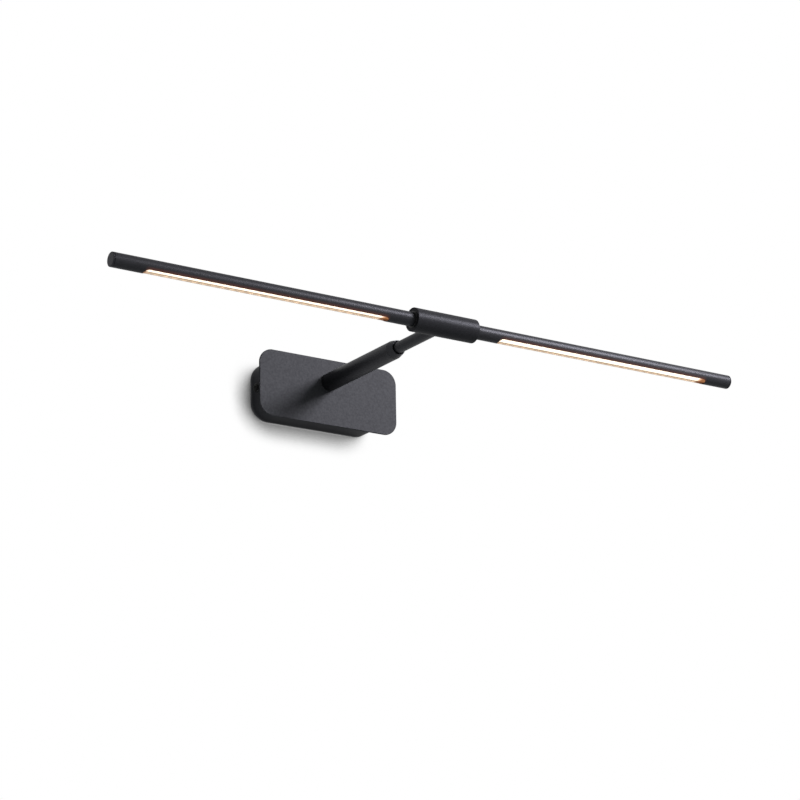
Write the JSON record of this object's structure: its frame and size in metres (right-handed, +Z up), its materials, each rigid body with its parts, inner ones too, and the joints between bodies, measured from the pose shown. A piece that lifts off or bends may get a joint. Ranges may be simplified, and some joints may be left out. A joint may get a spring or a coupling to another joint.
{
  "type": "picture light",
  "caption": "Slim black wall picture light: a round LED bar in two turning halves on a hub, carried by a telescopic arm on a flat plate and wall box.",
  "frame": {"origin": "on the wall plane, behind the centre of the wall box and midway between its two wall slots", "axes": "+X along the bar to the viewer's right, +Y into the wall, +Z up"},
  "size_m": [0.607, 0.2185, 0.06],
  "materials": {
    "black_coat": "fine-textured matte black powder coat",
    "black_screw": "blackened steel, satin",
    "zinc_steel": "zinc-plated",
    "brass": "turned, satin",
    "white_plastic": "moulded, matt",
    "black_plastic": "moulded acetal, matt",
    "rubber": "moulded, matt",
    "aluminium": "extruded, mill finish",
    "led_board": "white solder mask",
    "led_phosphor": "lit warm white",
    "circuit_board": "green solder mask",
    "coil_tape": "yellow wrapping tape",
    "capacitor_can": "sleeved can",
    "earth_sheath": "flexible sheath",
    "supply_sheath": "flexible sheath",
    "black_sheath": "flexible sheath",
    "white_sheath": "flexible sheath"
  },
  "bodies": {
    "wall_unit": {"wall_box": "black_coat", "front_plate": "black_coat", "arm_outer_tube": "black_coat", "arm_collar": "black_coat", "side_screws": "black_screw", "mounting_bracket": "zinc_steel", "terminal_screws": "zinc_steel", "block_screw": "zinc_steel", "plate_studs": "zinc_steel", "stud_nuts": "zinc_steel", "arm_nipple": "zinc_steel", "nipple_washer": "zinc_steel", "nipple_nut": "zinc_steel", "earth_lug": "brass", "earth_screw": "brass", "arm_root_plug": "brass", "terminal_block": "white_plastic", "driver_case": "white_plastic", "driver_lid": "white_plastic", "guide_bush": "white_plastic", "wire_guard": "black_plastic", "friction_ring": "black_plastic", "cable_grommet": "rubber", "driver_board": "circuit_board", "driver_transformer": "coil_tape", "driver_capacitors": "capacitor_can", "earth_lead": "earth_sheath", "supply_leads": "supply_sheath", "output_lead": "black_sheath"},
    "arm_slider": {"arm_inner_tube": "black_coat", "slider_stop": "white_plastic", "arm_lead": "black_sheath", "hub_nipple": "zinc_steel", "hub_nut": "zinc_steel", "hub_sleeve": "black_coat", "left_bush": "black_plastic", "right_bush": "black_plastic"},
    "left_bar": {"left_tube": "black_coat", "left_end_cap": "black_coat", "left_spigot": "brass", "left_stop_pin": "zinc_steel", "left_clip": "zinc_steel", "left_carrier": "aluminium", "left_led_board": "led_board", "left_leds": "led_phosphor", "left_leads": "white_sheath"},
    "right_bar": {"right_tube": "black_coat", "right_end_cap": "black_coat", "right_spigot": "brass", "right_stop_pin": "zinc_steel", "right_clip": "zinc_steel", "right_carrier": "aluminium", "right_led_board": "led_board", "right_leds": "led_phosphor", "right_leads": "white_sheath"}
  },
  "joints": [
    {"name": "arm_extend", "type": "slide", "parent": "wall_unit", "child": "arm_slider", "axis": [0, -1, 0], "range_m": [-0.04, 0.015]},
    {"name": "left_bar_turn", "type": "hinge", "parent": "arm_slider", "child": "left_bar", "pos_m": [0, -0.2085, 0.009], "axis": [1, 0, 0], "range_deg": [-88, 92]},
    {"name": "right_bar_turn", "type": "hinge", "parent": "arm_slider", "child": "right_bar", "pos_m": [0, -0.2085, 0.009], "axis": [1, 0, 0], "range_deg": [-80, 100]}
  ]
}
